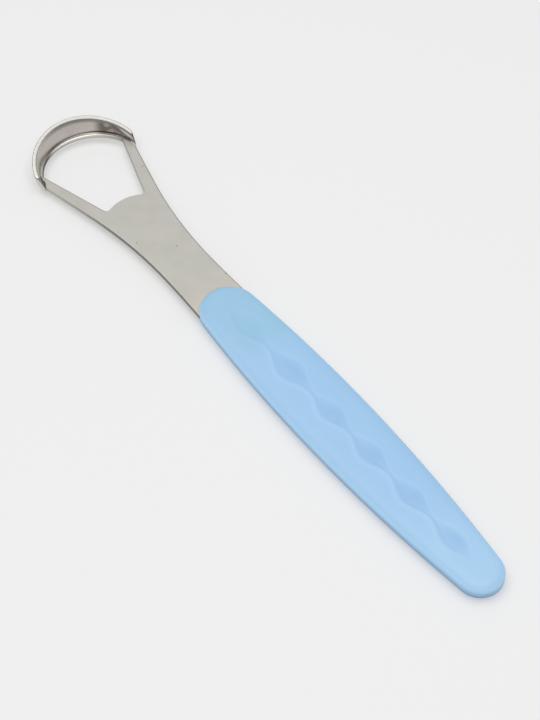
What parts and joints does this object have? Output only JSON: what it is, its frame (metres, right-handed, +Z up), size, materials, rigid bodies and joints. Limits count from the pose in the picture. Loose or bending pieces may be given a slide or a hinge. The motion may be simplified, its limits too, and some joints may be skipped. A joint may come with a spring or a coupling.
{
  "type": "tongue scraper",
  "caption": "Tongue scraper with a stamped steel blade, an open head turned up into a flared scraping wall, and a slim moulded grip with soft dimples.",
  "frame": {"origin": "middle of the overall length and width, on the plane that the handle's underside rests on", "axes": "+X along the tool from the handle's tail to the scraping wall, +Z up, the way the wall stands"},
  "size_m": [0.1597, 0.027, 0.0073],
  "materials": {
    "steel": "satin, polished on the wall",
    "grip": "soft matte light blue"
  },
  "bodies": {
    "root": {"scraper_blade": "steel", "handle": "grip"}
  },
  "joints": []
}
